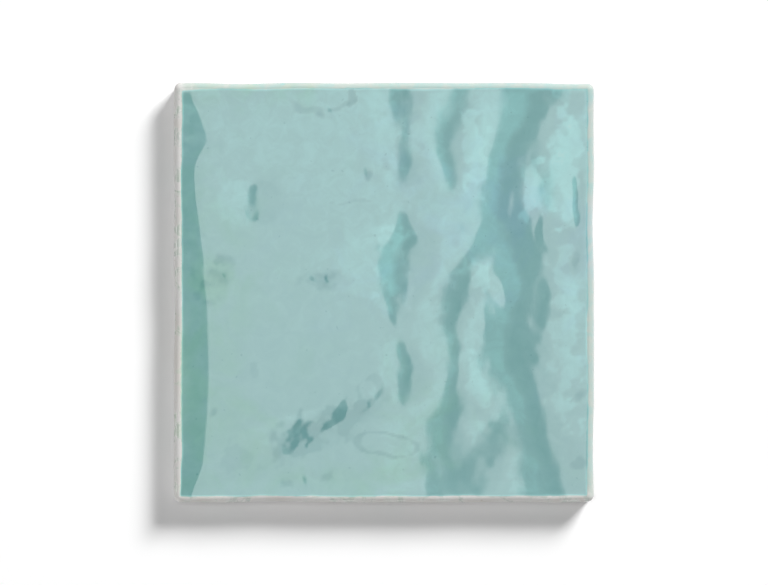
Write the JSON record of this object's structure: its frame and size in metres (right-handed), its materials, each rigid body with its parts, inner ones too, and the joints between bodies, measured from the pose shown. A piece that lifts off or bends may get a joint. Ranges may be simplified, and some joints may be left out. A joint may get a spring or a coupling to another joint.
{
  "type": "glazed ceramic wall tile",
  "caption": "Square glazed wall tile with a softly rippled face, a raised lip, a rolled and slightly wavering edge, and a ribbed back for adhesive.",
  "frame": {"origin": "middle of the back, in the plane of its rib tops: the bottom centre of the bounding box", "axes": "+Z out of the glazed face, +Y up the wall as in the picture, +X to the right as in the picture"},
  "size_m": [0.132, 0.132, 0.0089],
  "materials": {
    "glaze": "glossy",
    "biscuit": "matte"
  },
  "bodies": {
    "root": {"tile": "glaze"}
  },
  "joints": []
}
